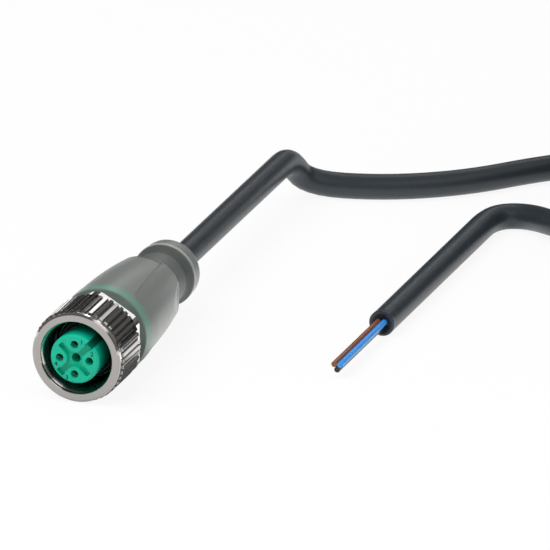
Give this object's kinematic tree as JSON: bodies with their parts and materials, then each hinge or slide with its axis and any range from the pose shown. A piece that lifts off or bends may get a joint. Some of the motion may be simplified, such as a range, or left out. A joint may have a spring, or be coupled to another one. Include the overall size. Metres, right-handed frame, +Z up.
{
  "type": "female cordset",
  "caption": "Straight round female sensor cordset: free-turning knurled coupling nut, keyed socket insert, moulded grip and a cable with stripped wire ends.",
  "frame": {"origin": "on the connector's axis, in the plane of the coupling nut's front face", "axes": "+Y along the connector's axis from the mating end to the cable, +Z up, with the key groove between +X and +Z"},
  "size_m": [0.1018, 0.1373, 0.0219],
  "materials": {
    "nickel": "bright nickel plate",
    "carrier_green": "satin moulded",
    "seal_black": "smooth",
    "contact_gold": "gold plate",
    "copper": "bare strands",
    "inner_green": "moulded",
    "grip_grey": "fine satin, slightly see-through",
    "cable_jacket": "matt polyurethane",
    "tie_black": "moulded nylon",
    "wire_brown": "smooth",
    "wire_blue": "smooth",
    "wire_black": "smooth"
  },
  "bodies": {
    "connector": {"contact_carrier": "carrier_green", "sealing_ring": "seal_black", "contact_1": "contact_gold", "contact_3": "contact_gold", "contact_4": "contact_gold", "conductor_1": "copper", "conductor_3": "copper", "conductor_4": "copper", "wire_brown_inner": "wire_brown", "wire_blue_inner": "wire_blue", "wire_black_inner": "wire_black", "inner_moulding": "inner_green", "grip": "grip_grey", "cable_in_grip": "cable_jacket", "cable_lead": "cable_jacket", "cable_coil": "cable_jacket", "cable_tail": "cable_jacket", "coil_ties": "tie_black", "lead_brown": "wire_brown", "lead_blue": "wire_blue", "lead_black": "wire_black"},
    "nut": {"coupling_nut": "nickel"}
  },
  "joints": [
    {"name": "nut_turn", "type": "hinge", "parent": "connector", "child": "nut", "pos_m": [0, 0.005, 0], "axis": [0, 1, 0], "continuous": true}
  ]
}
